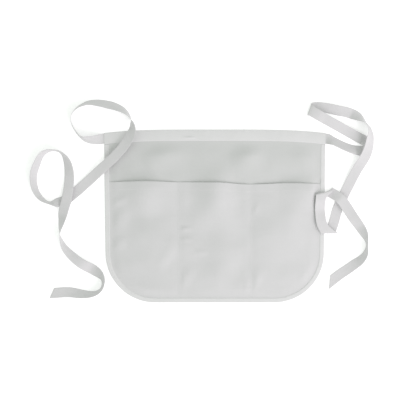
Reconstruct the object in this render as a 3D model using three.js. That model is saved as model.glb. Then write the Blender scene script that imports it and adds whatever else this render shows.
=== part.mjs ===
// A bar apron lying on its back with its front up: a cloth panel with rounded lower corners, a pocket
// panel sewn over its lower part into three compartments, a folded waistband, a folded edge binding and
// two long flat ties.
// Millimetres. The origin is on the surface it lies on, under the middle of the panel: +X runs to the
// right along the waistband, +Y towards the waistband and +Z up.
import * as THREE from "three";

// Driving sizes
const waistWidth = 500;
const hemWidth = 490; // the sides draw in a little towards the bottom
const apronHeight = 390;
const cornerRadius = 112;
const waistBow = 8; // how far the ends of the waist edge lie below its middle
const waistBowPower = 4; // above 2 the bow is drawn towards the ends
const clothWall = 1;
const layerGap = 0.3; // clear space between two layers that touch on the real apron
const waistbandHeight = 25;
const bindingWidth = 10;
const pocketDepth = 270;
const pocketHem = 20;
const hemExtra = 0.8; // the pocket mouth is a doubled hem
const dividerOffset = 82; // the two sewn lines stand this far from the middle
const tieWidth = 23;
const tieRoot = 20; // length of tie held inside each end of the waistband
const tieOut = 3; // the tie keeps straight this far out of the waistband

// Mesh steps
const cornerSteps = 8;
const columnsPerPocket = 9;
const pocketFaceRows = 6;
const upperFaceRows = 7;
const waistbandSteps = 21;
const tieSteps = 4; // sections between two rows of a tie's table

// Levels and lines worked out from the driving sizes
const layerStep = clothWall + layerGap;
const bottomY = -apronHeight / 2;
const waistY = apronHeight / 2;
const waistbandFoot = waistY - waistbandHeight;
const mouthY = bottomY + pocketDepth;
const hemFootY = mouthY - pocketHem;
const cornerTopY = bottomY + cornerRadius;
const clothInset = layerStep; // the cloth's edge stands this far inside the folded tapes' outer face
const heldBand = 13; // the cloth keeps the level of its edge this far in from the outline
const settleRun = 20; // and comes down to the surface over this distance

const smooth = (value) => THREE.MathUtils.smoothstep(value, 0, 1);
const bell = (value) => (Math.abs(value) < 1 ? (1 + Math.cos(Math.PI * value)) / 2 : 0);
const degrees = THREE.MathUtils.degToRad;

// Outline of the whole apron

function sideAt(y) {
  return THREE.MathUtils.mapLinear(Math.max(y, cornerTopY), bottomY, waistY, hemWidth / 2, waistWidth / 2);
}

function halfWidthAt(y, inset) {
  const radius = cornerRadius - inset;
  const below = Math.min(Math.max(cornerTopY - y, 0), radius);
  return sideAt(y) - cornerRadius + Math.sqrt(radius * radius - below * below);
}

// Distance of a point inside the outline from the sides, the round corners and the bottom
function edgeDistance(x, y) {
  const side = sideAt(y);
  const beyondX = Math.abs(x) - (side - cornerRadius);
  const beyondY = cornerTopY - y;
  if (beyondX > 0 && beyondY > 0) return cornerRadius - Math.hypot(beyondX, beyondY);
  return Math.min(side - Math.abs(x), y - bottomY);
}

// The waist edge is bowed, and the rows of cloth above the pocket mouth take up the bow bit by bit
function bowAt(x, y) {
  const share = Math.abs(x) / (waistWidth / 2);
  return waistBow * share ** waistBowPower * smooth((y - mouthY) / (waistbandFoot - mouthY));
}

// Heights of the two cloths

// Soft folds of the main panel: middle, size along and across, turn from upright in degrees, height
const panelFolds = [
  { x: -dividerOffset, y: 82, halfLength: 95, halfWidth: 48, turn: 0, height: 4 },
  { x: dividerOffset, y: 82, halfLength: 95, halfWidth: 48, turn: 0, height: 4.5 },
  { x: 185, y: 125, halfLength: 60, halfWidth: 26, turn: 38, height: 3 },
  { x: -8, y: 128, halfLength: 48, halfWidth: 24, turn: -30, height: 2.5 },
];

function foldHeight(x, y) {
  return panelFolds.reduce((sum, fold) => {
    const turn = degrees(fold.turn);
    const across = (x - fold.x) * Math.cos(turn) + (y - fold.y) * Math.sin(turn);
    const along = (y - fold.y) * Math.cos(turn) - (x - fold.x) * Math.sin(turn);
    return sum + fold.height * bell(across / fold.halfWidth) * bell(along / fold.halfLength);
  }, 0);
}

function panelUnderside(x, y) {
  const fromTape = Math.min(edgeDistance(x, y), waistbandFoot - y + heldBand);
  const settled = smooth((fromTape - heldBand) / settleRun);
  return layerStep * (1 - settled) + settled * foldHeight(x, y);
}

// Each pocket swells between its two sewn lines, from nothing at the bottom to its gape at the mouth
const pockets = [
  { name: "left", gape: 11 },
  { name: "middle", gape: 12 },
  { name: "right", gape: 11 },
];
const swellReach = 0.6; // share of the depth over which a pocket opens
const swellPower = 1.2; // above 1 the swelling eases out of the sewn lines

function pocketLines(y) {
  const outer = halfWidthAt(y, 0) - bindingWidth;
  return [-outer, -dividerOffset, dividerOffset, outer];
}

function pocketSwell(x, y) {
  const lines = pocketLines(y);
  const opened = smooth((y - bottomY - bindingWidth) / (pocketDepth * swellReach));
  return pockets.reduce((height, pocket, index) => {
    const share = (x - lines[index]) / (lines[index + 1] - lines[index]);
    if (share <= 0 || share >= 1) return height;
    return pocket.gape * opened * Math.sin(Math.PI * share) ** swellPower;
  }, 0);
}

function pocketUnderside(x, y) {
  return panelUnderside(x, y) + layerStep + pocketSwell(x, y);
}

function pocketWall(x, y) {
  const hemmed = y > hemFootY ? smooth((edgeDistance(x, y) - heldBand) / settleRun) : 0;
  return clothWall + hemExtra * hemmed;
}

// Closed solids lofted through rings of points

// Every ring is a section of a wall: along one of its faces and back along the other. Both faces are
// split along the same diagonals, so that a twisted wall keeps its thickness.
function loftSolid(rings) {
  const count = rings[0].length;
  const faces = [];
  for (let ring = 0; ring + 1 < rings.length; ring += 1) {
    for (let point = 0; point < count; point += 1) {
      const near = ring * count + point;
      const beside = ring * count + ((point + 1) % count);
      const corners = [near, beside, beside + count, near + count];
      const [a, b, c, d] = point < count / 2 ? corners : [...corners.slice(1), near];
      faces.push([a, b, d], [b, c, d]);
    }
  }
  const last = (rings.length - 1) * count;
  for (let point = 0; point + 1 < count / 2; point += 1) {
    const [next, opposite] = [point + 1, count - 1 - point];
    for (const [a, b, c] of [[point, opposite, next], [next, opposite, opposite - 1]]) {
      faces.push([a, b, c], [last + a, last + c, last + b]);
    }
  }
  const points = rings.flat();
  const volume = faces.reduce((sum, [a, b, c]) => {
    return sum + points[a].dot(new THREE.Vector3().crossVectors(points[b], points[c]));
  }, 0);
  const outward = volume > 0 ? faces : faces.map(([a, b, c]) => [a, c, b]);
  const geometry = new THREE.BufferGeometry().setFromPoints(points);
  geometry.setIndex(outward.flat());
  const flatShaded = geometry.toNonIndexed();
  flatShaded.computeVertexNormals();
  return flatShaded;
}

// A sheet of cloth is lofted row by row: across its upper face and back along its lower one
function sheetSolid(rows, underside, wall) {
  const rings = rows.map(({ y, xs }) => {
    const lower = xs.map((x) => new THREE.Vector3(x, y - bowAt(x, y), underside(x, y)));
    const upper = lower.map((point, index) => {
      return point.clone().setZ(point.z + wall(xs[index], y));
    });
    return [...upper, ...lower.reverse()];
  });
  return loftSolid(rings);
}

// Columns of a row: the held edge and the slope inside it at both sides, then even steps between the lines
function columnsAt(y) {
  const edge = halfWidthAt(y, clothInset);
  const slope = edge - heldBand - settleRun / 2;
  const lines = [-slope, -dividerOffset, dividerOffset, slope];
  const xs = [-edge, -edge + heldBand - clothInset];
  for (let pocket = 0; pocket < pockets.length; pocket += 1) {
    for (let step = 0; step < columnsPerPocket; step += 1) {
      xs.push(THREE.MathUtils.lerp(lines[pocket], lines[pocket + 1], step / columnsPerPocket));
    }
  }
  return [...xs, slope, edge - heldBand + clothInset, edge];
}

function rowAt(y) {
  return { y, xs: columnsAt(y) };
}

function evenRows(from, to, count) {
  return Array.from({ length: count }, (_, index) => rowAt(THREE.MathUtils.lerp(from, to, index / count)));
}

const hemStep = 0.5; // the hem's lower edge is a step this tall along the cloth
const cornerAngles = Array.from({ length: cornerSteps }, (_, step) => (step / cornerSteps) * (Math.PI / 2));
const cornerRows = cornerAngles.map((angle) => {
  return rowAt(cornerTopY - (cornerRadius - clothInset) * Math.cos(angle));
});
const pocketRows = [
  ...cornerRows,
  ...evenRows(cornerTopY, hemFootY, pocketFaceRows),
  rowAt(hemFootY),
  rowAt(hemFootY + hemStep),
  rowAt(mouthY - pocketHem / 2),
  rowAt(mouthY),
];
const upperRows = evenRows(mouthY, waistbandFoot, upperFaceRows).slice(1);

// Inside the waistband the panel is cut back at both ends to make room for the tie roots
const rootClear = 2.5;
const cutBack = (waistWidth / 2 - tieRoot - rootClear) / halfWidthAt(waistbandFoot, clothInset);
const tuckedRows = [0, 0.5, 1].map((share) => {
  const y = THREE.MathUtils.lerp(waistbandFoot + layerGap, waistY - clothInset, share);
  return { y, xs: columnsAt(waistbandFoot).map((x) => x * cutBack) };
});
const panelRows = [...pocketRows, ...upperRows, rowAt(waistbandFoot), ...tuckedRows];

// Folded tapes: a channel section given by its depth, its height and its wall

function channelSection(depth, height) {
  return [
    [depth, 0],
    [0, 0],
    [0, height],
    [depth, height],
    [depth, height - clothWall],
    [clothWall, height - clothWall],
    [clothWall, clothWall],
    [depth, clothWall],
  ].map(([across, up]) => new THREE.Vector2(across, up));
}

const oneLayerHeight = 2 * layerStep + clothWall; // tape folded over one cloth
const twoLayerHeight = oneLayerHeight + layerStep; // tape folded over both cloths

function waistbandSolid() {
  const section = channelSection(waistbandHeight, oneLayerHeight);
  const rings = Array.from({ length: waistbandSteps + 1 }, (_, step) => {
    const x = THREE.MathUtils.lerp(-waistWidth / 2, waistWidth / 2, step / waistbandSteps);
    return section.map(({ x: across, y: up }) => {
      return new THREE.Vector3(x, waistY - bowAt(x, waistY) - across, up);
    });
  });
  return loftSolid(rings);
}

// Half of the binding's route from the waistband down to the bottom edge, as outer points and normals
function bindingHalf() {
  const endClear = 2 * layerGap;
  const endY = waistbandFoot - waistBow - endClear;
  const stepUp = 12; // length over which the binding thins above the pocket mouth
  const straight = [endY, mouthY + stepUp, mouthY, 0].map((y) => {
    return { x: sideAt(y), y, normal: new THREE.Vector2(1, 0) };
  });
  const corner = [...cornerAngles, Math.PI / 2].reverse().map((angle) => {
    const normal = new THREE.Vector2(Math.sin(angle), -Math.cos(angle));
    return {
      x: sideAt(cornerTopY) - cornerRadius + cornerRadius * normal.x,
      y: cornerTopY + cornerRadius * normal.y,
      normal,
    };
  });
  return [...straight, ...corner];
}

function bindingSolid() {
  const right = bindingHalf();
  const left = right.map(({ x, y, normal }) => {
    return { x: -x, y, normal: new THREE.Vector2(-normal.x, normal.y) };
  });
  const rings = [...left, ...right.reverse()].map(({ x, y, normal }) => {
    const height = y > mouthY ? oneLayerHeight : twoLayerHeight;
    return channelSection(bindingWidth, height).map(({ x: inward, y: up }) => {
      return new THREE.Vector3(x - normal.x * inward, y - normal.y * inward, up);
    });
  });
  return loftSolid(rings);
}

// Ties: one row for each section of the tape, from the waistband to the free end.
// x and y place its middle, heading is the way it runs in degrees from +X, roll turns it about its own
// line (0 front up, 90 left edge up, 180 back up), lift raises its lower edge off the surface, and bend
// is 1 or -1 where the tape turns over in a soft fold, rising or falling.
const rootX = waistWidth / 2 - tieRoot;
const exitX = waistWidth / 2 + tieOut;
const inChannel = clothInset + tieWidth / 2; // from the waist edge to the middle of a tie's root
const rootY = waistY - bowAt(rootX, waistY) - inChannel;
const exitY = waistY - bowAt(exitX, waistY) - inChannel;
const leftTie = {
  slant: 11, // how far one corner of the cut end runs past the other
  rows: [
    { x: -rootX, y: rootY, heading: 187, roll: 0, lift: layerStep },
    { x: -exitX, y: exitY, heading: 187, roll: 0, lift: layerStep },
    { x: -268, y: 172, heading: 186, roll: -32, lift: 0.6 },
    { x: -285, y: 172, heading: 172, roll: -50, lift: 0 },
    { x: -301, y: 177, heading: 140, roll: -83, lift: 0 },
    { x: -317, y: 197, heading: 118, roll: -88, lift: 0 },
    { x: -324, y: 219, heading: 88, roll: -88, lift: 0 },
    { x: -315, y: 239, heading: 48, roll: -82, lift: 0 },
    { x: -292, y: 253, heading: 22, roll: -64, lift: 0 },
    { x: -266, y: 255, heading: -3, roll: -46, lift: 0 },
    { x: -237, y: 250, heading: -12, roll: -32, lift: 0 },
    { x: -210, y: 240, heading: -28, roll: -48, lift: 0 },
    { x: -190, y: 220, heading: -64, roll: -84, lift: 0.5 },
    { x: -185, y: 203, heading: -88, roll: -124, lift: 6 },
    { x: -188, y: 185, heading: -106, roll: -152, lift: 10 },
    { x: -201, y: 162, heading: -126, roll: -164, lift: 12 },
    { x: -250, y: 111, heading: -139, roll: -172, lift: 10 },
    { x: -287, y: 78, heading: -139, roll: -180, lift: 3 },
    { x: -318, y: 51, heading: -142, roll: -180, lift: 0 },
    { x: -347, y: 32, heading: -164, roll: -188, lift: 0 },
    { x: -372, y: 30, heading: 172, roll: -96, lift: 0 },
    { x: -394, y: 43, heading: 132, roll: -118, lift: 0 },
    { x: -408, y: 75, heading: 97, roll: -125, lift: 0 },
    { x: -403, y: 112, heading: 66, roll: -130, lift: 0 },
    { x: -384, y: 143, heading: 34, roll: -110, lift: 0 },
    { x: -364, y: 148, heading: -4, roll: -96, lift: 0 },
    { x: -348, y: 144, heading: -34, roll: -100, lift: 0 },
    { x: -332, y: 120, heading: -74, roll: -145, lift: 0.5 },
    { x: -328, y: 86, heading: -92, roll: -168, lift: 2.8 },
    { x: -333, y: 41, heading: -99, roll: -178, lift: 7.6 },
    { x: -340, y: 14, heading: -102, roll: -172, lift: 8.4 },
    { x: -344, y: -8, heading: -97, roll: -142, lift: 3 },
    { x: -348, y: -45, heading: -78, roll: -92, lift: 0 },
    { x: -333, y: -77, heading: -50, roll: -50, lift: 4 },
    { x: -300, y: -106, heading: -34, roll: -22, lift: 9.5 },
    { x: -268, y: -125, heading: -34, roll: 12, lift: 1 },
    { x: -251, y: -147, heading: -88, roll: 68, lift: 0 },
    { x: -263, y: -171, heading: -150, roll: 70, lift: 0 },
    { x: -291, y: -176, heading: 178, roll: 46, lift: 0 },
    { x: -327, y: -172, heading: 177, roll: 12, lift: 0 },
    { x: -368, y: -174, heading: 182, roll: 3, lift: 0 },
  ],
};
const rightTie = {
  slant: 21,
  rows: [
    { x: rootX, y: rootY, heading: -7, roll: 0, lift: layerStep },
    { x: exitX, y: exitY, heading: -7, roll: 0, lift: layerStep },
    { x: 267, y: 169, heading: -24, roll: -38, lift: 0.6 },
    { x: 308, y: 151, heading: -17, roll: -34, lift: 0 },
    { x: 331, y: 148, heading: 6, roll: 16, lift: 0 },
    { x: 346, y: 159, heading: 90, roll: 64, lift: 0 },
    { x: 334, y: 172, heading: 152, roll: 12, lift: 0 },
    { x: 310, y: 185, heading: 151, roll: -18, lift: 0.5 },
    { x: 251, y: 217, heading: 152, roll: -24, lift: 5 },
    { x: 233, y: 227, heading: 151, roll: -18, lift: 8 },
    { x: 213, y: 240, heading: 160, roll: 0, lift: 4, bend: -1 },
    { x: 233, y: 246, heading: -3, roll: 180, lift: 0 },
    { x: 275, y: 239, heading: -14, roll: 194, lift: 0 },
    { x: 306, y: 232, heading: -20, roll: 186, lift: 0 },
    { x: 325, y: 223, heading: -34, roll: 148, lift: 0 },
    { x: 338, y: 211, heading: -54, roll: 102, lift: 2 },
    { x: 348, y: 191, heading: -78, roll: 122, lift: 9 },
    { x: 347, y: 168, heading: -95, roll: 138, lift: 14 },
    { x: 341, y: 142, heading: -110, roll: 150, lift: 13.5 },
    { x: 321, y: 106, heading: -121, roll: 168, lift: 5 },
    { x: 297, y: 59, heading: -117, roll: 178, lift: 0.8 },
    { x: 278, y: 18, heading: -112, roll: 180, lift: 0.3 },
    { x: 269, y: -14, heading: -107, roll: 180, lift: 0.6 },
    { x: 260, y: -39, heading: -90, roll: 180, lift: 6.8, bend: 1 },
    { x: 240, y: -14, heading: 103, roll: 0, lift: 9.6 },
    { x: 237, y: 12, heading: 95, roll: 0, lift: 10 },
    { x: 238, y: 38, heading: 86, roll: 0, lift: 18 },
    { x: 248, y: 55, heading: 107, roll: 0, lift: 11.5, bend: -1 },
    { x: 268, y: 50, heading: -42, roll: 170, lift: 4.4 },
    { x: 285, y: 36, heading: -50, roll: 170, lift: 3.2 },
    { x: 310, y: -1, heading: -57, roll: 180, lift: 0.4 },
    { x: 332, y: -33, heading: -62, roll: 212, lift: 0 },
    { x: 343, y: -63, heading: -88, roll: 266, lift: 0 },
    { x: 339, y: -90, heading: -124, roll: 310, lift: 0 },
    { x: 320, y: -107, heading: -146, roll: 352, lift: 0 },
    { x: 292, y: -125, heading: -148, roll: 362, lift: 0 },
    { x: 259, y: -150, heading: -141, roll: 362, lift: 0 },
  ],
};

const up = new THREE.Vector3(0, 0, 1);
const foldPull = 2; // how far a fold swings out, as a share of the height that it climbs
const straightPull = 1.4; // how straight the tape runs up to a fold

function headingVector(row) {
  return new THREE.Vector3(Math.cos(degrees(row.heading)), Math.sin(degrees(row.heading)), 0);
}

// Unit vector from the middle of the tape to its left edge
function acrossVector(row) {
  const left = new THREE.Vector3().crossVectors(up, headingVector(row));
  return left.multiplyScalar(Math.cos(degrees(row.roll))).addScaledVector(up, Math.sin(degrees(row.roll)));
}

// Tangents that make the stretch between two rows close to a round arc
function stretchBetween(start, end) {
  const from = new THREE.Vector3(start.x, start.y, start.lift);
  const to = new THREE.Vector3(end.x, end.y, end.lift);
  const reach = from.distanceTo(to);
  const turn = headingVector(start).angleTo(headingVector(end));
  const roundPull = turn > 0.01 ? (2 * Math.tan(turn / 4)) / Math.sin(turn / 2) : 1;
  const pullAt = (row, other) => {
    if (row.bend) return up.clone().multiplyScalar(row.bend * foldPull * Math.abs(other.lift - row.lift));
    return headingVector(row).multiplyScalar(reach * (other.bend ? straightPull : roundPull));
  };
  const third = 1 / 3;
  return new THREE.CubicBezierCurve3(
    from,
    from.clone().addScaledVector(pullAt(start, end), third),
    to.clone().addScaledVector(pullAt(end, start), -third),
    to,
  );
}

const slantRun = 6; // sections over which the cut end takes up its slant
const longestSection = 1.6; // longest slanted section, as a share of the tape's width

function tieSolid({ slant, rows }) {
  const route = [];
  rows.slice(1).forEach((row, index) => {
    const stretch = stretchBetween(rows[index], row);
    const lastStep = index === rows.length - 2 ? tieSteps : tieSteps - 1;
    for (let step = 0; step <= lastStep; step += 1) {
      const share = step / tieSteps;
      const across = acrossVector(rows[index]).lerp(acrossVector(row), share).normalize();
      route.push({ across, middle: stretch.getPoint(share) });
    }
  });
  const rings = route.map(({ across, middle }, index) => {
    const before = route[Math.max(index - 1, 0)].middle;
    const after = route[Math.min(index + 1, route.length - 1)].middle;
    const along = new THREE.Vector3().subVectors(after, before).normalize();
    const outOfFace = new THREE.Vector3().crossVectors(along, across).normalize();
    // where the tape crosses a fold at a slant, its section there is longer than its width
    const halfSpan = (tieWidth / 2) * Math.min(1 / Math.sqrt(1 - across.dot(along) ** 2), longestSection);
    const fromEnd = route.length - 1 - index;
    const skew = (slant / 2) * Math.max(0, 1 - fromEnd / slantRun);
    const height = Math.abs(across.z) * halfSpan + clothWall / 2;
    return [
      [1, 1],
      [-1, 1],
      [-1, -1],
      [1, -1],
    ].map(([side, face]) => {
      return middle
        .clone()
        .addScaledVector(up, height)
        .addScaledVector(across, side * halfSpan)
        .addScaledVector(along, side * skew)
        .addScaledVector(outOfFace, (face * clothWall) / 2);
    });
  });
  return loftSolid(rings);
}

// Materials and the assembly

const cloth = new THREE.MeshStandardMaterial({ color: 0xd8d9d8, roughness: 0.92, metalness: 0 });
const pocketCloth = new THREE.MeshStandardMaterial({ color: 0xd6d7d6, roughness: 0.92, metalness: 0 });
const tape = new THREE.MeshStandardMaterial({ color: 0xdddddd, roughness: 0.88, metalness: 0 });

const apron = new THREE.Group();

function addPiece(name, geometry, material) {
  const piece = new THREE.Mesh(geometry, material);
  piece.name = name;
  apron.add(piece);
}

addPiece("main_panel", sheetSolid(panelRows, panelUnderside, () => clothWall), cloth);
addPiece("pocket_panel", sheetSolid(pocketRows, pocketUnderside, pocketWall), pocketCloth);
addPiece("waistband", waistbandSolid(), tape);
addPiece("edge_binding", bindingSolid(), tape);
addPiece("left_tie", tieSolid(leftTie), tape);
addPiece("right_tie", tieSolid(rightTie), tape);

export default apron;
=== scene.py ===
import bpy
import math
from collections import namedtuple
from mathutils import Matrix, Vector, noise


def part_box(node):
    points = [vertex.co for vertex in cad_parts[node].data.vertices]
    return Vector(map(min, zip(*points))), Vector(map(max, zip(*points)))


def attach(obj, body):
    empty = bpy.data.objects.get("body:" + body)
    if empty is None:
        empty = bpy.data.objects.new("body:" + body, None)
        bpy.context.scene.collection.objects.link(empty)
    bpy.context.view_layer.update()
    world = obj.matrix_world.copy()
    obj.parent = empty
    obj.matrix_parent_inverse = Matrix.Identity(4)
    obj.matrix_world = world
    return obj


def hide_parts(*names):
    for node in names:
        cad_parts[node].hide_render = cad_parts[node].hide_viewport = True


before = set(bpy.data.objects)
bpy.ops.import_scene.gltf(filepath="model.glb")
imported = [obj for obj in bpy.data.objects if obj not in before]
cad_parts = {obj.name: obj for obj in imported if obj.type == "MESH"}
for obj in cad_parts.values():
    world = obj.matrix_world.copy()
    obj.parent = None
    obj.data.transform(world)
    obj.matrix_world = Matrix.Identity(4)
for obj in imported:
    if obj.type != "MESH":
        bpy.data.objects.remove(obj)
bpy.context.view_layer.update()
bandLow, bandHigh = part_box("waistband")
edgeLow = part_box("edge_binding")[0]
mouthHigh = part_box("pocket_panel")[1]
bpy.ops.object.select_all(action="DESELECT")
print("frame loaded:", sorted(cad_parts))

# the apron's outline and layers, in metres
apron = {
    "waistWidth": bandHigh.x - bandLow.x,
    "hemWidth": 0.490,
    "top": bandHigh.y,
    "bottom": edgeLow.y,
    "mouth": mouthHigh.y,
    "cornerRadius": 0.112,
    "waistBow": 0.008,  # drop of the waistband's ends below its middle
    "bowPower": 4,
    "bandHeight": 0.025,
    "bindingWidth": 0.010,
    "hemDepth": 0.020,
    "dividerOffset": 0.082,
    "clothWall": 0.0007,
    "layerGap": 0.00005,
    "edgeSink": 0.00062,  # the front edge of a folded tape sinks into the cloth
    "heldBand": 0.0120,  # cloth this near the edge is held flat by the binding
    "settleRun": 0.020,  # and comes loose over this run
}
bandFoot = apron["top"] - apron["bandHeight"]
hemFoot = apron["mouth"] - apron["hemDepth"]
cornerTop = apron["bottom"] + apron["cornerRadius"]
clothWall = apron["clothWall"]
layerStep = clothWall + apron["layerGap"]
oneLayer = 2 * layerStep + clothWall
twoLayers = oneLayer + layerStep

# the camera looks straight down, as the photo does, with its lens and sensor in mm
cameraPlan = {"centre": (-0.0334, 0.0362), "seen": 0.904, "lens": 85, "sensor": 36}


def setCamera():
    x, y = cameraPlan["centre"]
    distance = cameraPlan["seen"] * cameraPlan["lens"] / cameraPlan["sensor"]
    bpy.ops.object.camera_add(location=(x, y, distance), rotation=(0, 0, 0))
    camera = bpy.context.object
    camera.name = "photoCamera"
    camera.data.lens = cameraPlan["lens"]
    bpy.context.scene.camera = camera


setCamera()
print("camera set")


def smooth(value):
    t = min(max(value, 0.0), 1.0)
    return t * t * (3 - 2 * t)


def bell(value):
    return (1 + math.cos(math.pi * value)) / 2 if abs(value) < 1 else 0.0


def mix(a, b, share):
    return a + (b - a) * share


def sideAt(y):
    share = (max(y, cornerTop) - apron["bottom"]) / (apron["top"] - apron["bottom"])
    return mix(apron["hemWidth"], apron["waistWidth"], share) / 2


def halfWidthAt(y, inset):
    radius = apron["cornerRadius"] - inset
    below = min(max(cornerTop - y, 0), radius)
    return sideAt(y) - apron["cornerRadius"] + math.sqrt(radius * radius - below * below)


def edgeDistance(x, y):
    side = sideAt(y)
    beyondX = abs(x) - (side - apron["cornerRadius"])
    beyondY = cornerTop - y
    if beyondX > 0 and beyondY > 0:
        return apron["cornerRadius"] - math.hypot(beyondX, beyondY)
    return min(side - abs(x), y - apron["bottom"])


def bowAt(x, y):
    share = abs(x) / (apron["waistWidth"] / 2)
    drawn = smooth((y - apron["mouth"]) / (bandFoot - apron["mouth"]))
    return apron["waistBow"] * share ** apron["bowPower"] * drawn


def foldSum(folds, x, y):
    total = 0.0
    for foldX, foldY, halfLength, halfWidth, turn, height in folds:
        c = math.cos(math.radians(turn))
        s = math.sin(math.radians(turn))
        across = ((x - foldX) * c + (y - foldY) * s) / halfWidth
        along = ((y - foldY) * c - (x - foldX) * s) / halfLength
        total += height * bell(across) * bell(along)
    return total


def ripple(x, y, plan):
    size = plan["rippleSize"]
    return noise.noise(Vector((x / size, y / size, plan["rippleSeed"])))


def looseRipple(x, y, plan):
    return plan["rippleHeight"] * (0.5 + ripple(x, y, plan) / 2)  # never below the flat cloth


# main panel: folds are x, y, half length, half width, turn from upright in degrees, height
panel = {
    "columns": 180,
    "rows": 140,
    "folds": [
        (-0.150, 0.050, 0.058, 0.068, 0, 0.0092),
        (0.000, 0.050, 0.090, 0.062, 0, 0.0115),
        (0.195, 0.056, 0.054, 0.055, 0, 0.0078),
        (-0.112, 0.140, 0.050, 0.056, 0, 0.0060),
        (0.075, 0.126, 0.062, 0.048, 0, 0.0070),
        (0.190, 0.136, 0.052, 0.050, 12, 0.0036),
        (-0.143, 0.112, 0.042, 0.018, 43, 0.0016),
        (0.150, -0.030, 0.100, 0.072, -30, 0.0070),
        (-0.140, -0.060, 0.085, 0.062, 30, 0.0074),
        (0.020, -0.110, 0.075, 0.056, 10, 0.0050),
    ],
    "rippleSize": 0.050,
    "rippleHeight": 0.0056,
    "rippleSeed": 3.1,
    "bandRun": 0.038,  # the cloth comes loose over this run below the waistband
    "tuck": 0.018,  # depth inside the waistband
    "tuckLeast": 0.0002,
    "tuckEnd": 0.222,  # past this x the waistband holds a tie's root instead
    "tuckRun": 0.004,
    "tuckShare": 0.05,  # share of the grid that is tucked in
}


def panelBack(x, y):
    settled = smooth((edgeDistance(x, y) - apron["heldBand"]) / apron["settleRun"])
    settled *= smooth((bandFoot - y) / panel["bandRun"])
    loose = foldSum(panel["folds"], x, y) + looseRipple(x, y, panel)
    return layerStep * (1 - settled) + settled * loose


# pocket panel: it swells between its sewn lines and opens towards the mouth
pocket = {
    "columns": 180,
    "rows": 112,
    "gapes": (0.0024, 0.0026, 0.0024),  # left, middle and right
    "swellStart": -0.11,  # y where the pockets begin to stand open
    "swellPower": 1.6,
    "hemExtra": 0.0005,
    "hemStep": 0.006,  # the hem thickens over this run
    "mouthLine": [(-0.25, 0.002), (-0.15, 0.0035), (-0.08, 0.0015), (0.0, 0.0008), (0.08, -0.0035),
                  (0.165, -0.0008), (0.25, -0.0025)],  # x and shift of the mouth's edge
    "mouthRun": 0.06,  # cloth this far below the mouth shifts with it
    "folds": [
        (-0.216, 0.033, 0.035, 0.014, -64, 0.0016),
        (-0.212, -0.004, 0.034, 0.024, -20, 0.0016),
        (-0.216, -0.062, 0.022, 0.022, 0, 0.0022),
        (-0.070, -0.029, 0.026, 0.009, 88, 0.0024),
        (-0.066, -0.053, 0.024, 0.009, 82, 0.0014),
        (0.088, -0.148, 0.050, 0.020, -30, 0.0018),
        (0.086, 0.008, 0.032, 0.011, -28, 0.0016),
        (-0.063, -0.136, 0.040, 0.020, -34, 0.0018),
        (-0.110, -0.092, 0.045, 0.022, -35, 0.0020),
        (-0.031, -0.082, 0.020, 0.011, 78, 0.0016),
    ],
    "freeRun": 0.016,  # the cloth comes loose over this run beside a seam
    "rippleSize": 0.040,
    "rippleHeight": 0.0012,
    "rippleSeed": 5.6,
    "puckerHeight": 0.00025,
    "puckerSize": 0.009,
    "puckerStretch": 4,  # a gather's length over its width
    "puckerReach": 0.014,
    "puckerBase": 0.3,  # the higher, the fewer flat spots between the gathers
    "puckerAbove": 0.3,  # share of the bottom's gathers that is left above the corners
    "puckerSeeds": (8.2, 2.7),
}


def pocketLines(y):
    outer = halfWidthAt(y, 0) - apron["bindingWidth"]
    return (-outer, -apron["dividerOffset"], apron["dividerOffset"], outer)


def pocketSwell(x, y):
    lines = pocketLines(y)
    opened = smooth((y - pocket["swellStart"]) / (apron["mouth"] - pocket["swellStart"]))
    for index, gape in enumerate(pocket["gapes"]):
        share = (x - lines[index]) / (lines[index + 1] - lines[index])
        if 0 < share < 1:
            return gape * opened * math.sin(math.pi * share) ** pocket["swellPower"]
    return 0.0


def seamDistance(x, y):
    toDivider = abs(abs(x) - apron["dividerOffset"])
    return min(toDivider, edgeDistance(x, y) - apron["bindingWidth"])


# loose cloth rides up in small gathers beside a sewn line
def puckerAt(x, y):
    fromSeam = seamDistance(x, y)
    if fromSeam <= 0:
        return 0.0
    near = fromSeam / pocket["puckerReach"]
    size = pocket["puckerSize"]
    longSize = size * pocket["puckerStretch"]
    sideSeed, footSeed = pocket["puckerSeeds"]
    besideSides = noise.noise(Vector((x / longSize, y / size, sideSeed)))
    alongFoot = noise.noise(Vector((x / size, y / longSize, footSeed)))
    wave = besideSides + alongFoot * (1 if y < cornerTop else pocket["puckerAbove"])
    return pocket["puckerHeight"] * max(0.0, wave + pocket["puckerBase"]) * near * math.exp(1 - near)


def pocketBack(x, y):
    free = smooth(seamDistance(x, y) / pocket["freeRun"])
    loose = foldSum(pocket["folds"], x, y) + looseRipple(x, y, pocket)
    return panelBack(x, y) + layerStep + pocketSwell(x, y) + free * loose + puckerAt(x, y)


def mouthShift(x):
    line = pocket["mouthLine"]
    for (x0, y0), (x1, y1) in zip(line, line[1:]):
        if x0 <= x <= x1:
            return mix(y0, y1, smooth((x - x0) / (x1 - x0)))
    return line[-1][1]


def hemThickness(x, y):
    held = smooth((edgeDistance(x, y) - apron["heldBand"]) / apron["settleRun"])
    return smooth((y - hemFoot) / pocket["hemStep"]) * held


def pocketTop(x, y):
    return pocketBack(x, y) + clothWall + pocket["hemExtra"] * hemThickness(x, y)


def pocketPoint(x, y, z):
    lifted = smooth((y - apron["mouth"] + pocket["mouthRun"]) / pocket["mouthRun"])
    return Vector((x, y + mouthShift(x) * lifted, z))


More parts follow.
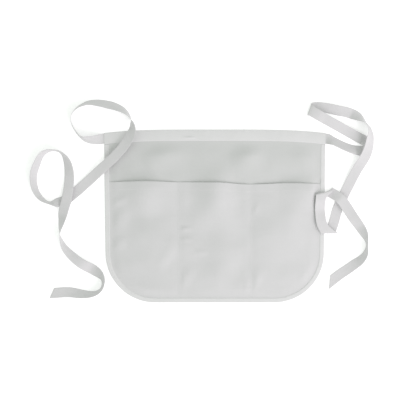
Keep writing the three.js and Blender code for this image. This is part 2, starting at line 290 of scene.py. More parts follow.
# a sheet starts as a grid whose points are then laid in place, with its flat size kept in the UV map
def layGrid(name, columns, rows, place, flatPlace):
    bpy.ops.object.select_all(action="DESELECT")
    bpy.ops.mesh.primitive_grid_add(x_subdivisions=columns, y_subdivisions=rows, size=1, calc_uvs=True)
    piece = bpy.context.object
    piece.name = name
    piece.data.name = name
    flats = []
    for vertex in piece.data.vertices:
        u = vertex.co.x + 0.5  # the grid is 1 m wide about the origin
        w = vertex.co.y + 0.5
        flats.append(flatPlace(u, w))
        vertex.co = place(u, w)
    uvLayer = piece.data.uv_layers.active
    for loop in piece.data.loops:
        uvLayer.data[loop.index].uv = flats[loop.vertex_index]
    return piece


# cut edges are rounded where they turn by more than the bevel angle, in degrees
clothEdge = {"bevel": 0.00025, "segments": 2, "bevelAngle": 60, "smoothAngle": 50}


def applyModifiers(piece):
    bpy.ops.object.select_all(action="DESELECT")
    piece.select_set(True)
    bpy.context.view_layer.objects.active = piece
    for modifier in list(piece.modifiers):
        bpy.ops.object.modifier_apply(modifier=modifier.name)
    bpy.ops.object.shade_smooth_by_angle(angle=math.radians(clothEdge["smoothAngle"]))


def giveWall(piece, wall, offset, group=None, thinnest=1.0):
    solidify = piece.modifiers.new("wall", "SOLIDIFY")
    solidify.thickness = wall
    solidify.offset = offset
    solidify.use_even_offset = True
    if group:
        solidify.vertex_group = group
        solidify.thickness_vertex_group = thinnest
    bevel = piece.modifiers.new("softEdge", "BEVEL")
    bevel.width = clothEdge["bevel"]
    bevel.segments = clothEdge["segments"]
    bevel.limit_method = "ANGLE"
    bevel.angle_limit = math.radians(clothEdge["bevelAngle"])
    applyModifiers(piece)


def makePanel():
    inset = layerStep

    def flatPlace(u, w):
        laid = 1 - panel["tuckShare"]
        y = mix(apron["bottom"] + inset, bandFoot, min(w / laid, 1))
        x = mix(-1, 1, u) * halfWidthAt(y, inset)
        tucked = panel["tuck"] * smooth((panel["tuckEnd"] - abs(x)) / panel["tuckRun"])
        return (x, y + (tucked + panel["tuckLeast"]) * max(w - laid, 0) / panel["tuckShare"])

    def place(u, w):
        x, y = flatPlace(u, w)
        return (x, y - bowAt(x, y), panelBack(x, min(y, bandFoot)))

    piece = layGrid("main_panel_cloth", panel["columns"], panel["rows"], place, flatPlace)
    giveWall(piece, clothWall, offset=1)
    return piece


def makePocket():
    inset = layerStep

    def flatPlace(u, w):
        y = mix(apron["bottom"] + inset, apron["mouth"], w)
        return (mix(-1, 1, u) * halfWidthAt(y, inset), y)

    def place(u, w):
        x, y = flatPlace(u, w)
        return pocketPoint(x, y, pocketBack(x, y))

    piece = layGrid("pocket_panel_cloth", pocket["columns"], pocket["rows"], place, flatPlace)
    thick = clothWall + pocket["hemExtra"]
    hem = piece.vertex_groups.new(name="hem")
    uvLayer = piece.data.uv_layers.active
    for loop in piece.data.loops:
        x, y = uvLayer.data[loop.index].uv
        hem.add([loop.vertex_index], hemThickness(x, y), "REPLACE")
    giveWall(piece, thick, offset=1, group="hem", thinnest=clothWall / thick)
    return piece


panelPiece = makePanel()
print("main panel laid:", len(panelPiece.data.polygons), "faces")
pocketPiece = makePocket()
print("pocket panel sewn on:", len(pocketPiece.data.polygons), "faces")


# waistband: a tape folded over the top of the panel, a little puffed between its two stitch rows
band = {
    "steps": 200,
    "legSteps": 16,
    "roundSteps": 8,
    "puff": 0.0005,
    "puffPower": 0.6,
    "stitchInset": 0.0025,
    "rippleSize": 0.012,
    "rippleHeight": 0.00035,
    "rippleStretch": 2,
    "rippleSeed": 1.3,
    "flatEnd": 0.014,  # the puff fades out over this run
    "pucker": (-0.058, 0.177, 0.020, 0.004, 90, 0.0016),  # one pinch, with the columns of a fold
}
bandRows = (band["stitchInset"], apron["bandHeight"] - band["stitchInset"])


# the fold's section runs along the lower leg, round the outside and back along the upper leg
def foldSection(depth, height, plan):
    legSteps = plan["legSteps"]
    roundSteps = plan["roundSteps"]
    radius = (height - clothWall) / 2
    section = []
    for step in range(legSteps):
        section.append((mix(depth, radius, step / legSteps), clothWall / 2))
    for step in range(roundSteps + 1):
        angle = math.pi * step / roundSteps
        section.append((radius - radius * math.sin(angle), height / 2 - radius * math.cos(angle)))
    for step in range(1, legSteps + 1):
        sunk = apron["edgeSink"] if step == legSteps else 0
        section.append((mix(radius, depth, step / legSteps), height - clothWall / 2 - sunk))
    return section


def sectionLengths(section):
    lengths = [0.0]
    for (a, b), (c, d) in zip(section, section[1:]):
        lengths.append(lengths[-1] + math.hypot(c - a, d - b))
    return lengths


def bandPuff(x, depth):
    upper, lower = bandRows
    share = (depth - upper) / (lower - upper)
    puffed = band["puff"] * math.sin(math.pi * min(max(share, 0), 1)) ** band["puffPower"]
    wave = band["rippleHeight"] * ripple(x, depth / band["rippleStretch"], band)
    free = smooth((apron["waistWidth"] / 2 - abs(x)) / band["flatEnd"])
    return free * (puffed + wave) + foldSum([band["pucker"]], x, apron["top"] - depth)


def makeWaistband():
    section = foldSection(apron["bandHeight"], oneLayer, band)
    lengths = sectionLengths(section)
    last = len(section) - 1

    def flatPlace(u, w):
        return (mix(-0.5, 0.5, u) * apron["waistWidth"], lengths[round(w * last)])

    def place(u, w):
        index = round(w * last)
        depth, up = section[index]
        x = mix(-0.5, 0.5, u) * apron["waistWidth"]
        raised = bandPuff(x, depth) if index > last / 2 else 0
        return (x, apron["top"] - bowAt(x, apron["top"]) - depth, up + raised)

    piece = layGrid("waistband_tape", band["steps"], last, place, flatPlace)
    giveWall(piece, clothWall, offset=0)
    return piece, lengths[-1]


# edge binding: a narrow tape folded over the sides, the round corners and the bottom
binding = {
    "sideSteps": 90,
    "cornerSteps": 56,
    "bottomSteps": 90,
    "legSteps": 8,
    "roundSteps": 8,
    "thinRun": 0.012,  # the tape gets thinner over this run above the pocket
    "endClear": 0.0006,  # gap to the waistband
    "stitchInset": 0.0020,
    "rippleSize": 0.009,
    "rippleHeight": 0.00030,
    "rippleSeed": 6.4,
}


def bindingRoute():
    route = []
    topY = bandFoot - apron["waistBow"] - binding["endClear"]
    for step in range(binding["sideSteps"]):
        y = mix(topY, cornerTop, step / binding["sideSteps"])
        route.append((Vector((sideAt(y), y)), Vector((1, 0))))
    middleX = sideAt(cornerTop) - apron["cornerRadius"]
    for step in range(binding["cornerSteps"]):
        angle = math.pi / 2 * step / binding["cornerSteps"]
        normal = Vector((math.cos(angle), -math.sin(angle)))
        route.append((Vector((middleX, cornerTop)) + normal * apron["cornerRadius"], normal))
    halfSteps = binding["bottomSteps"] // 2
    for step in range(halfSteps):
        x = mix(middleX, 0, step / halfSteps)
        route.append((Vector((x, apron["bottom"])), Vector((0, -1))))
    other = [(Vector((-p.x, p.y)), Vector((-n.x, n.y))) for p, n in reversed(route)]
    return route + [(Vector((0, apron["bottom"])), Vector((0, -1)))] + other


def bindingHeight(y):
    return mix(twoLayers, oneLayer, smooth((y - apron["mouth"]) / binding["thinRun"]))


def routeLengths(points):
    lengths = [0.0]
    for before, after in zip(points, points[1:]):
        lengths.append(lengths[-1] + (after - before).length)
    return lengths


def makeBinding():
    route = bindingRoute()
    lengths = routeLengths([point for point, normal in route])
    plain = foldSection(apron["bindingWidth"], twoLayers, binding)
    across = sectionLengths(plain)
    last = len(plain) - 1
    end = len(route) - 1

    def flatPlace(u, w):
        return (lengths[round(u * end)], across[round(w * last)])

    def place(u, w):
        point, normal = route[round(u * end)]
        index = round(w * last)
        section = foldSection(apron["bindingWidth"], bindingHeight(point.y), binding)
        inward, up = section[index]
        wave = ripple(lengths[round(u * end)], inward, binding)
        raised = binding["rippleHeight"] * wave if last / 2 < index < last else 0
        flat = point - normal * inward
        return (flat.x, flat.y, up + raised)

    piece = layGrid("edge_binding_tape", end, last, place, flatPlace)
    giveWall(piece, clothWall, offset=0)
    return piece, lengths[-1], across[-1]


bandPiece, bandAround = makeWaistband()
print("waistband folded over the top edge")
bindingPiece, bindingLength, bindingAround = makeBinding()
print("binding folded round the edge:", round(bindingLength, 3), "m long")


# ties: heading in degrees from +X, roll 90 is left edge up and 180 is back up, lift is of the lower edge
tieRow = namedtuple("tieRow", "x y heading roll lift fold")  # fold is 1 or -1 where the tape turns over
tie = {
    "width": 0.023,
    "wall": 0.0007,
    "columns": 8,
    "steps": 10,
    "easePasses": 14,  # passes that even out the twist
    "foldPull": 2.0,  # how far a fold bulges for its change of lift
    "straightPull": 1.4,  # how straight the tape runs into a fold
    "straightBelow": 0.01,  # a turn under this many radians counts as straight
    "longestSection": 1.6,  # most that a slanted section is stretched
    "slantRun": 0.030,  # the free end is cut on a slant over this run
    "cup": 0.0007,
    "cupSize": 0.060,
    "rootRun": 0.023,  # length from the root with no cupping
    "rootDepth": 0.020,  # depth inside the waistband
    "rootExit": 0.003,
}
rootX = apron["waistWidth"] / 2 - tie["rootDepth"]
exitX = apron["waistWidth"] / 2 + tie["rootExit"]
inChannel = layerStep + tie["width"] / 2
rootY = apron["top"] - bowAt(rootX, apron["top"]) - inChannel
exitY = apron["top"] - bowAt(exitX, apron["top"]) - inChannel
leftTie = {
    "slant": 0.011,
    "cupSeed": 4.2,
    "rows": [
        (-rootX, rootY, 187, 0, layerStep, 0),
        (-exitX, exitY, 187, 0, layerStep, 0),
        (-0.268, 0.172, 186, -32, 0.0006, 0),
        (-0.285, 0.172, 172, -50, 0, 0),
        (-0.301, 0.177, 140, -79, 0, 0),
        (-0.317, 0.197, 118, -82, 0, 0),
        (-0.324, 0.219, 88, -82, 0, 0),
        (-0.315, 0.239, 48, -77, 0, 0),
        (-0.292, 0.253, 22, -64, 0, 0),
        (-0.266, 0.255, -3, -46, 0, 0),
        (-0.237, 0.250, -12, -32, 0, 0),
        (-0.210, 0.240, -28, -48, 0, 0),
        (-0.190, 0.220, -64, -84, 0.0005, 0),
        (-0.185, 0.203, -88, -124, 0.0060, 0),
        (-0.188, 0.185, -106, -152, 0.0100, 0),
        (-0.201, 0.162, -126, -164, 0.0120, 0),
        (-0.250, 0.111, -139, -172, 0.0100, 0),
        (-0.287, 0.078, -139, -180, 0.0030, 0),
        (-0.318, 0.051, -142, -180, 0, 0),
        (-0.347, 0.032, -164, -188, 0, 0),
        (-0.372, 0.030, 172, -96, 0, 0),
        (-0.394, 0.043, 132, -118, 0, 0),
        (-0.408, 0.075, 97, -125, 0, 0),
        (-0.403, 0.112, 66, -130, 0, 0),
        (-0.384, 0.143, 34, -110, 0, 0),
        (-0.364, 0.148, -4, -96, 0, 0),
        (-0.348, 0.144, -34, -100, 0, 0),
        (-0.332, 0.120, -74, -145, 0.0005, 0),
        (-0.328, 0.086, -92, -168, 0.0028, 0),
        (-0.333, 0.041, -99, -178, 0.0076, 0),
        (-0.340, 0.014, -102, -172, 0.0084, 0),
        (-0.344, -0.008, -97, -142, 0.0030, 0),
        (-0.348, -0.045, -78, -92, 0, 0),
        (-0.333, -0.077, -50, -50, 0.0040, 0),
        (-0.300, -0.106, -34, -22, 0.0095, 0),
        (-0.268, -0.125, -34, 12, 0.0010, 0),
        (-0.251, -0.147, -88, 68, 0, 0),
        (-0.263, -0.171, -150, 70, 0, 0),
        (-0.291, -0.176, 178, 46, 0, 0),
        (-0.327, -0.172, 177, 12, 0, 0),
        (-0.368, -0.174, 182, 3, 0, 0),
    ],
}
rightTie = {
    "slant": -0.021,
    "cupSeed": 9.7,
    "rows": [
        (rootX, rootY, -7, 0, layerStep, 0),
        (exitX, exitY, -7, 0, layerStep, 0),
        (0.267, 0.169, -24, -38, 0.0006, 0),
        (0.308, 0.151, -17, -34, 0, 0),
        (0.334, 0.1475, 2, -4, 0, 0),
        (0.347, 0.159, 90, 52, 0, 0),
        (0.336, 0.1715, 153, -6, 0, 0),
        (0.322, 0.1785, 151, -14, 0.0003, 0),
        (0.310, 0.185, 151, -18, 0.0005, 0),
        (0.251, 0.217, 152, -24, 0.0050, 0),
        (0.233, 0.227, 151, -18, 0.0080, 0),
        (0.213, 0.240, 160, 0, 0.0040, -1),
        (0.233, 0.246, -3, 180, 0, 0),
        (0.275, 0.239, -14, 194, 0, 0),
        (0.306, 0.232, -20, 186, 0, 0),
        (0.325, 0.223, -34, 148, 0, 0),
        (0.338, 0.211, -54, 102, 0.0020, 0),
        (0.348, 0.191, -78, 122, 0.0090, 0),
        (0.347, 0.168, -95, 148, 0.0140, 0),
        (0.341, 0.142, -110, 164, 0.0135, 0),
        (0.321, 0.106, -121, 178, 0.0050, 0),
        (0.297, 0.059, -117, 178, 0.0008, 0),
        (0.278, 0.018, -112, 180, 0.0003, 0),
        (0.269, -0.014, -107, 180, 0.0006, 0),
        (0.260, -0.039, -90, 180, 0.0044, 1),
        (0.240, -0.014, 103, 3, 0.0064, 0),
        (0.237, 0.012, 95, 11, 0.0036, 0),
        (0.238, 0.038, 86, 10, 0.0084, 0),
        (0.250, 0.0545, 107, 0, 0.0072, -1),
        (0.263, 0.0525, -28, 178, 0.0024, 0),
        (0.285, 0.036, -50, 178, 0.0095, 0),
        (0.310, -0.001, -57, 190, 0.0075, 0),
        (0.332, -0.033, -62, 214, 0.0020, 0),
        (0.342, -0.063, -88, 276, 0, 0),
        (0.336, -0.089, -123, 240, 0, 0),
        (0.318, -0.1065, -145, 203, 0, 0),
        (0.292, -0.125, -148, 190, 0, 0),
        (0.259, -0.150, -141, 183, 0, 0),
    ],
}
upward = Vector((0, 0, 1))


def headingOf(row):
    turn = math.radians(row.heading)
    return Vector((math.cos(turn), math.sin(turn), 0))


def acrossOf(row):
    roll = math.radians(row.roll)
    return upward.cross(headingOf(row)) * math.cos(roll) + upward * math.sin(roll)


# a stretch between two rows is close to a round arc, and swings up or down where the tape turns over
def stretchPoint(start, end, share):
    p0 = Vector((start.x, start.y, start.lift))
    p3 = Vector((end.x, end.y, end.lift))
    reach = (p3 - p0).length
    turn = headingOf(start).angle(headingOf(end))
    straight = turn <= tie["straightBelow"]
    roundPull = 1 if straight else 2 * math.tan(turn / 4) / math.sin(turn / 2)

    def pullAt(row, other):
        if row.fold:
            return upward * (row.fold * tie["foldPull"] * abs(other.lift - row.lift))
        return headingOf(row) * (reach * (tie["straightPull"] if other.fold else roundPull))

    p1 = p0 + pullAt(start, end) / 3
    p2 = p3 - pullAt(end, start) / 3
    rest = 1 - share
    point = p0 * rest ** 3 + p1 * (3 * rest * rest * share)
    point += p2 * (3 * rest * share * share)
    return point + p3 * share ** 3


def tapeRoute(rows):
    middles = []
    acrosses = []
    held = []
    for index, (start, end) in enumerate(zip(rows, rows[1:])):
        final = index == len(rows) - 2
        for step in range(tie["steps"] + (1 if final else 0)):
            share = step / tie["steps"]
            middles.append(stretchPoint(start, end, share))
            acrosses.append(acrossOf(start).lerp(acrossOf(end), share).normalized())
            held.append(index == 0 or bool(start.fold or end.fold))
    for _ in range(tie["easePasses"]):
        before = [across.copy() for across in acrosses]
        for i in range(1, len(acrosses) - 1):
            if not held[i]:
                acrosses[i] = (before[i - 1] + before[i] * 2 + before[i + 1]).normalized()
    return middles, acrosses


def makeTie(name, plan):
    middles, acrosses = tapeRoute([tieRow(*row) for row in plan["rows"]])
    lengths = routeLengths(middles)
    last = len(middles) - 1

    def flatPlace(u, w):
        return (lengths[round(u * last)], (w - 0.5) * tie["width"])

    def place(u, w):
        i = round(u * last)
        side = 2 * w - 1
        along = (middles[min(i + 1, last)] - middles[max(i - 1, 0)]).normalized()
        across = acrosses[i]
        outOfFace = along.cross(across).normalized()
        slanted = 1 / math.sqrt(1 - across.dot(along) ** 2)
        halfSpan = tie["width"] / 2 * min(slanted, tie["longestSection"])
        skew = plan["slant"] / 2 * max(0, 1 - (lengths[last] - lengths[i]) / tie["slantRun"])
        height = abs(across.z) * halfSpan + tie["wall"] / 2
        free = smooth((lengths[i] - tie["rootRun"]) / tie["cupSize"])
        wave = noise.noise(Vector((lengths[i] / tie["cupSize"], plan["cupSeed"], 0)))
        cupped = free * tie["cup"] * (1 - side * side) * wave
        point = middles[i] + upward * height + across * (side * halfSpan) + along * (side * skew)
        return point + outOfFace * cupped

    piece = layGrid(name, last, tie["columns"], place, flatPlace)
    giveWall(piece, tie["wall"], offset=0)
    return piece, lengths[-1]


leftPiece, leftLength = makeTie("left_tie_tape", leftTie)
rightPiece, rightLength = makeTie("right_tie_tape", rightTie)
print("ties laid:", round(leftLength, 3), "and", round(rightLength, 3), "m long")


# stitch rows: one stitch is modelled and copied along each sewn line
stitch = {
    "length": 0.0026,
    "gap": 0.0010,
    "thread": 0.00055,
    "segments": 6,
    "rings": 5,
    "lift": 0.0001,
    "bandReach": 0.498,  # share of the waist on each side of the middle
    "hemInset": 0.0025,
    "hemPoints": 400,
    "dividerEnd": 0.001,
    "dividerPoints": 260,
}


def modelStitch():
    bpy.ops.object.select_all(action="DESELECT")
    bpy.ops.mesh.primitive_uv_sphere_add(segments=stitch["segments"], ring_count=stitch["rings"],
                                         radius=0.5)
    shape = bpy.context.object
    bpy.ops.object.mode_set(mode="EDIT")
    bpy.ops.mesh.select_all(action="SELECT")
    bpy.ops.transform.rotate(value=math.pi / 2, orient_axis="Y", center_override=(0, 0, 0))
    bpy.ops.transform.resize(value=(stitch["length"], stitch["thread"], stitch["thread"]))
    bpy.ops.object.mode_set(mode="OBJECT")
    points = [vertex.co.copy() for vertex in shape.data.vertices]
    faces = [tuple(polygon.vertices) for polygon in shape.data.polygons]
    bpy.data.objects.remove(shape)
    return points, faces


stitchPoints, stitchFaces = modelStitch()


def walkAlong(points, step):
    lengths = routeLengths(points)
    count = int(lengths[-1] / step)
    places = []
    index = 0
    for number in range(count):
        wanted = (number + 0.5) * step
        while lengths[index + 1] < wanted:
            index += 1
        share = (wanted - lengths[index]) / (lengths[index + 1] - lengths[index])
        direction = (points[index + 1] - points[index]).normalized()
        places.append((points[index].lerp(points[index + 1], share), direction))
    return places


def sewRows(name, rows):
    vertices = []
    faces = []
    for points in rows:
        for middle, direction in walkAlong(points, stitch["length"] + stitch["gap"]):
            turn = direction.to_track_quat("X", "Z")
            first = len(vertices)
            vertices += [middle + turn @ point for point in stitchPoints]
            faces += [tuple(first + corner for corner in face) for face in stitchFaces]
    mesh = bpy.data.meshes.new(name)
    mesh.from_pydata(vertices, [], faces)
    piece = bpy.data.objects.new(name, mesh)
    bpy.context.scene.collection.objects.link(piece)
    for polygon in mesh.polygons:
        polygon.use_smooth = True
    return piece


def bandRow(depth):
    count = band["steps"] * 2
    reach = stitch["bandReach"]
    row = []
    for step in range(count + 1):
        x = mix(-reach, reach, step / count) * apron["waistWidth"]
        y = apron["top"] - bowAt(x, apron["top"]) - depth
        row.append(Vector((x, y, oneLayer + bandPuff(x, depth))))
    return row


def bindingRow():
    row = []
    for point, normal in bindingRoute():
        flat = point - normal * (apron["bindingWidth"] - binding["stitchInset"])
        row.append(Vector((flat.x, flat.y, bindingHeight(point.y) + stitch["lift"])))
    return row


def hemRow():
    y = hemFoot + stitch["hemInset"]
    count = stitch["hemPoints"]
    reach = sideAt(y) - apron["bindingWidth"]
    row = []
    for step in range(count + 1):
        x = mix(-reach, reach, step / count)
        row.append(pocketPoint(x, y, pocketTop(x, y) + stitch["lift"]))
    return row


def dividerRow(x):
    count = stitch["dividerPoints"]
    foot = apron["bottom"] + apron["bindingWidth"]
    row = []
    for step in range(count + 1):
        y = mix(foot, apron["mouth"] - stitch["dividerEnd"], step / count)
        row.append(pocketPoint(x, y, pocketTop(x, y) + stitch["lift"]))
    return row


bandStitches = sewRows("waistband_stitches", [bandRow(depth) for depth in bandRows])
bindingStitches = sewRows("binding_stitches", [bindingRow()])
hemStitches = sewRows("pocket_hem_stitches", [hemRow()])
dividers = (-apron["dividerOffset"], apron["dividerOffset"])
dividerStitches = sewRows("pocket_divider_stitches", [dividerRow(x) for x in dividers])
print("stitch rows sewn")


# shader helpers
def addNode(tree, kind, **inputs):
    node = tree.nodes.new(kind)
    for name, value in inputs.items():
        node.inputs[name].default_value = value
    return node


def mathNode(tree, operation, a, b=None, c=None):
    node = tree.nodes.new("ShaderNodeMath")
    node.operation = operation
    for index, value in enumerate((a, b, c)):
        if value is None:
            continue
        if isinstance(value, (int, float)):
            node.inputs[index].default_value = value
        else:
            tree.links.new(value, node.inputs[index])
    return node.outputs[0]


def newGroup(name, vector, values, outputs):
    group = bpy.data.node_groups.new(name, "ShaderNodeTree")
    group.interface.new_socket(vector, in_out="INPUT", socket_type="NodeSocketVector")
    for label in values:
        group.interface.new_socket(label, in_out="INPUT", socket_type="NodeSocketFloat")
    for label in outputs:
        group.interface.new_socket(label, in_out="OUTPUT", socket_type="NodeSocketFloat")
    return group, group.nodes.new("NodeGroupInput"), group.nodes.new("NodeGroupOutput")


# twill: raised warp threads whose floats step over sideways row by row
twill = {"repeat": 3, "floatRise": 0.3, "floatBase": 0.7}


def buildTwill():
    group, source, sink = newGroup("twillWeave", "Flat", ["Pitch"], ["Height"])
    split = group.nodes.new("ShaderNodeSeparateXYZ")
    group.links.new(source.outputs["Flat"], split.inputs[0])
    u = mathNode(group, "DIVIDE", split.outputs["X"], source.outputs["Pitch"])
    v = mathNode(group, "DIVIDE", split.outputs["Y"], source.outputs["Pitch"])
    warp = mathNode(group, "ABSOLUTE", mathNode(group, "SINE", mathNode(group, "MULTIPLY", u, math.pi)))
    diagonal = mathNode(group, "MULTIPLY", mathNode(group, "ADD", u, v), 2 * math.pi / twill["repeat"])
    wave = mathNode(group, "SINE", diagonal)
    floats = mathNode(group, "MULTIPLY_ADD", wave, twill["floatRise"], twill["floatBase"])
    group.links.new(mathNode(group, "MULTIPLY", warp, floats), sink.inputs["Height"])
    return group


# herringbone: the twill changes its slant from stripe to stripe across the tape
herringbone = {"stripes": 4}


def buildHerringbone():
    group, source, sink = newGroup("herringboneWeave", "Flat", ["Pitch", "Stripe"], ["Height"])
    split = group.nodes.new("ShaderNodeSeparateXYZ")
    group.links.new(source.outputs["Flat"], split.inputs[0])
    stripe = mathNode(group, "PINGPONG", split.outputs["Y"], source.outputs["Stripe"])
    slanted = mathNode(group, "ADD", split.outputs["X"], stripe)
    ribs = mathNode(group, "DIVIDE", slanted, source.outputs["Pitch"])
    wave = mathNode(group, "SINE", mathNode(group, "MULTIPLY", ribs, 2 * math.pi))
    height = mathNode(group, "MULTIPLY_ADD", wave, 0.5, 0.5)  # from 0 to 1
    group.links.new(height, sink.inputs["Height"])
    return group


# mottle: soft cloudy change of tone over the cloth, with fine fibre specks
mottlePlan = {"cloudDetail": 3.0, "cloudRoughness": 0.55, "fibreScale": 900.0, "fibreDetail": 2.0}


def buildMottle():
    group, source, sink = newGroup("clothMottle", "Place", ["Cloud"], ["Tone", "Fibre"])
    cloud = addNode(group, "ShaderNodeTexNoise", Detail=mottlePlan["cloudDetail"],
                    Roughness=mottlePlan["cloudRoughness"])
    fibre = addNode(group, "ShaderNodeTexNoise", Scale=mottlePlan["fibreScale"],
                    Detail=mottlePlan["fibreDetail"])
    group.links.new(source.outputs["Place"], cloud.inputs["Vector"])
    group.links.new(source.outputs["Place"], fibre.inputs["Vector"])
    group.links.new(source.outputs["Cloud"], cloud.inputs["Scale"])
    group.links.new(cloud.outputs["Fac"], sink.inputs["Tone"])
    group.links.new(fibre.outputs["Fac"], sink.inputs["Fibre"])
    return group


twillGroup = buildTwill()
herringboneGroup = buildHerringbone()
mottleGroup = buildMottle()

# finishes: light and dark tone, weave and its pitch, cloud scale, strength of the bump, roughness
finishes = {
    # painted shade: the panel's light and dark tones are set darker and greener than the pocket cloth's
    "panel_cloth": {"light": (0.648, 0.654, 0.648), "dark": (0.631, 0.639, 0.631), "weave": twillGroup,
                    "pitch": 0.0008, "cloud": 14.0, "bump": 0.30, "roughness": 0.93},
    "pocket_cloth": {"light": (0.676, 0.675, 0.677), "dark": (0.660, 0.661, 0.661), "weave": twillGroup,
                     "pitch": 0.0008, "cloud": 12.0, "bump": 0.30, "roughness": 0.93},
    "waistband_cloth": {"light": (0.735, 0.735, 0.735), "dark": (0.719, 0.721, 0.719), "weave": twillGroup,
                        "pitch": 0.0008, "cloud": 18.0, "bump": 0.30, "roughness": 0.92},
    "binding_tape": {"light": (0.745, 0.745, 0.745), "dark": (0.728, 0.730, 0.728), "weave": twillGroup,
                     "pitch": 0.0007, "cloud": 24.0, "bump": 0.30, "roughness": 0.92},
    "tie_tape": {"light": (0.700, 0.692, 0.700), "dark": (0.682, 0.677, 0.682), "weave": herringboneGroup,
                 "pitch": 0.0016, "cloud": 22.0, "bump": 0.35, "roughness": 0.90},
}
clothSurface = {
    "sheen": 0.12,
    "sheenRoughness": 0.5,
    "gloss": 0.25,
    "darkBelow": 0.35,
    "lightAbove": 0.65,
    # painted shade: the colour darkens by this share where the weave's threads dip
    "weaveShade": 0.10,
    "fibreRoughness": 0.08,
    "fibreRise": 0.3,
    "bumpDepth": 0.00025,
}


def makeFinish(name, plan):
    material = bpy.data.materials.new(name)
    material.use_nodes = True
    tree = material.node_tree
    shader = tree.nodes["Principled BSDF"]
    shader.inputs["Sheen Weight"].default_value = clothSurface["sheen"]
    shader.inputs["Sheen Roughness"].default_value = clothSurface["sheenRoughness"]
    shader.inputs["Specular IOR Level"].default_value = clothSurface["gloss"]
    place = tree.nodes.new("ShaderNodeTexCoord")
    weave = tree.nodes.new("ShaderNodeGroup")
    weave.node_tree = plan["weave"]
    weave.inputs["Pitch"].default_value = plan["pitch"]
    if "Stripe" in weave.inputs:
        weave.inputs["Stripe"].default_value = tie["width"] / herringbone["stripes"]
    mottle = tree.nodes.new("ShaderNodeGroup")
    mottle.node_tree = mottleGroup
    mottle.inputs["Cloud"].default_value = plan["cloud"]
    tree.links.new(place.outputs["UV"], weave.inputs["Flat"])
    tree.links.new(place.outputs["Object"], mottle.inputs["Place"])
    tone = tree.nodes.new("ShaderNodeMapRange")
    tone.inputs["From Min"].default_value = clothSurface["darkBelow"]
    tone.inputs["From Max"].default_value = clothSurface["lightAbove"]
    tree.links.new(mottle.outputs["Tone"], tone.inputs["Value"])
    blend = tree.nodes.new("ShaderNodeMix")
    blend.data_type = "RGBA"
    blend.inputs["A"].default_value = (*plan["dark"], 1)
    blend.inputs["B"].default_value = (*plan["light"], 1)
    tree.links.new(tone.outputs["Result"], blend.inputs["Factor"])
    # painted shade: the base colour is darkened in the weave's low spots between the threads
    weaveShade = tree.nodes.new("ShaderNodeMix")
    weaveShade.data_type = "RGBA"
    weaveShade.blend_type = "MULTIPLY"
    weaveShade.inputs["Factor"].default_value = clothSurface["weaveShade"]
    tree.links.new(blend.outputs["Result"], weaveShade.inputs["A"])
    tree.links.new(weave.outputs["Height"], weaveShade.inputs["B"])
    tree.links.new(weaveShade.outputs["Result"], shader.inputs["Base Color"])
    spread = clothSurface["fibreRoughness"]
    fibre = mottle.outputs["Fibre"]
    rough = mathNode(tree, "MULTIPLY_ADD", fibre, spread, plan["roughness"] - spread / 2)
    tree.links.new(rough, shader.inputs["Roughness"])
    height = mathNode(tree, "MULTIPLY_ADD", fibre, clothSurface["fibreRise"], weave.outputs["Height"])
    bump = tree.nodes.new("ShaderNodeBump")
    bump.inputs["Strength"].default_value = plan["bump"]
    bump.inputs["Distance"].default_value = clothSurface["bumpDepth"]
    tree.links.new(height, bump.inputs["Height"])
    tree.links.new(bump.outputs["Normal"], shader.inputs["Normal"])
    return material


materials = {name: makeFinish(name, plan) for name, plan in finishes.items()}


# sewing thread: a lightly twisted bright yarn
thread = {
    "colour": (0.79, 0.79, 0.79),
    "shade": (0.68, 0.69, 0.68),
    "twist": 1400.0,
    "twistWarp": 1.5,
    "roughness": 0.6,
}


def makeThread():
    material = bpy.data.materials.new("sewing_thread")
    material.use_nodes = True
    tree = material.node_tree
    shader = tree.nodes["Principled BSDF"]
    shader.inputs["Roughness"].default_value = thread["roughness"]
    place = tree.nodes.new("ShaderNodeTexCoord")
    twist = addNode(tree, "ShaderNodeTexWave", Scale=thread["twist"], Distortion=thread["twistWarp"])
    tree.links.new(place.outputs["Object"], twist.inputs["Vector"])
    blend = tree.nodes.new("ShaderNodeMix")
    blend.data_type = "RGBA"
    blend.inputs["A"].default_value = (*thread["shade"], 1)
    blend.inputs["B"].default_value = (*thread["colour"], 1)
    tree.links.new(twist.outputs["Fac"], blend.inputs["Factor"])
    tree.links.new(blend.outputs["Result"], shader.inputs["Base Color"])
    return material


threadMaterial = makeThread()


def dress(piece, material, slot, *nodes):
    piece.data.materials.clear()
    piece.data.materials.append(material)
    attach(piece, "root")
    if nodes:
        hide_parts(*nodes)


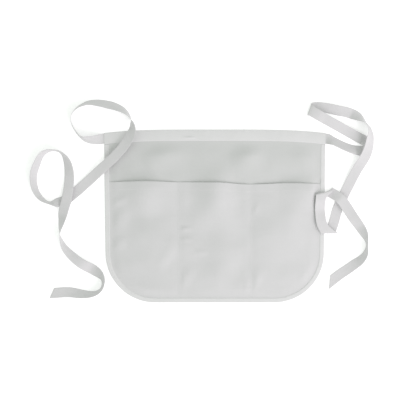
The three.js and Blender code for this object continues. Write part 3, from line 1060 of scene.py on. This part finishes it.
dress(panelPiece, materials["panel_cloth"], "panel_cloth", "main_panel")
dress(pocketPiece, materials["pocket_cloth"], "pocket_cloth", "pocket_panel")
dress(bandPiece, materials["waistband_cloth"], "waistband_cloth", "waistband")
dress(bindingPiece, materials["binding_tape"], "binding_tape", "edge_binding")
dress(leftPiece, materials["tie_tape"], "tie_tape", "left_tie")
dress(rightPiece, materials["tie_tape"], "tie_tape", "right_tie")
dress(bandStitches, threadMaterial, "waistband_cloth")
dress(bindingStitches, threadMaterial, "binding_tape")
dress(hemStitches, threadMaterial, "pocket_cloth")
dress(dividerStitches, threadMaterial, "pocket_cloth")
print("finishes made")


# a pale floor, two soft lights from the right (name, place, watts, size) and a soft glow all round
studio = {
    "floor": 8.0,
    "floorTone": (0.93, 0.93, 0.93),
    "floorRoughness": 0.9,
    "floorGloss": 0.1,
    "glowTone": (1.0, 1.0, 1.0),
    "floorGlow": 0.27,
    "sky": (0.957, 1.0, 0.955),
    "skyStrength": 0.80,
    "softboxes": [
        ("frontSoftbox", (1.43, -1.83, 1.57), 36.0, 2.0),
        ("sideSoftbox", (1.05, 0.15, 0.75), 1.7, 0.7),
    ],
    "boxTone": (1.0, 0.90, 0.995),
}


def setStudio():
    bpy.ops.mesh.primitive_plane_add(size=studio["floor"], location=(0, 0, 0))
    floor = bpy.context.object
    floor.name = "floor"
    floorMaterial = bpy.data.materials.new("paleFloor")
    floorMaterial.use_nodes = True
    shader = floorMaterial.node_tree.nodes["Principled BSDF"]
    shader.inputs["Base Color"].default_value = (*studio["floorTone"], 1)
    shader.inputs["Roughness"].default_value = studio["floorRoughness"]
    shader.inputs["Specular IOR Level"].default_value = studio["floorGloss"]
    shader.inputs["Emission Color"].default_value = (*studio["glowTone"], 1)
    shader.inputs["Emission Strength"].default_value = studio["floorGlow"]
    floor.data.materials.append(floorMaterial)
    world = bpy.data.worlds.new("studioSky")
    world.use_nodes = True
    background = world.node_tree.nodes["Background"]
    background.inputs["Color"].default_value = (*studio["sky"], 1)
    background.inputs["Strength"].default_value = studio["skyStrength"]
    bpy.context.scene.world = world
    for name, place, power, size in studio["softboxes"]:
        bpy.ops.object.light_add(type="AREA", location=place)
        light = bpy.context.object
        light.name = name
        light.data.energy = power
        light.data.size = size
        light.data.color = studio["boxTone"]
        light.rotation_euler = (-Vector(place)).to_track_quat("-Z", "Y").to_euler()
    bpy.context.scene.view_settings.view_transform = "Standard"


setStudio()
print("studio set")
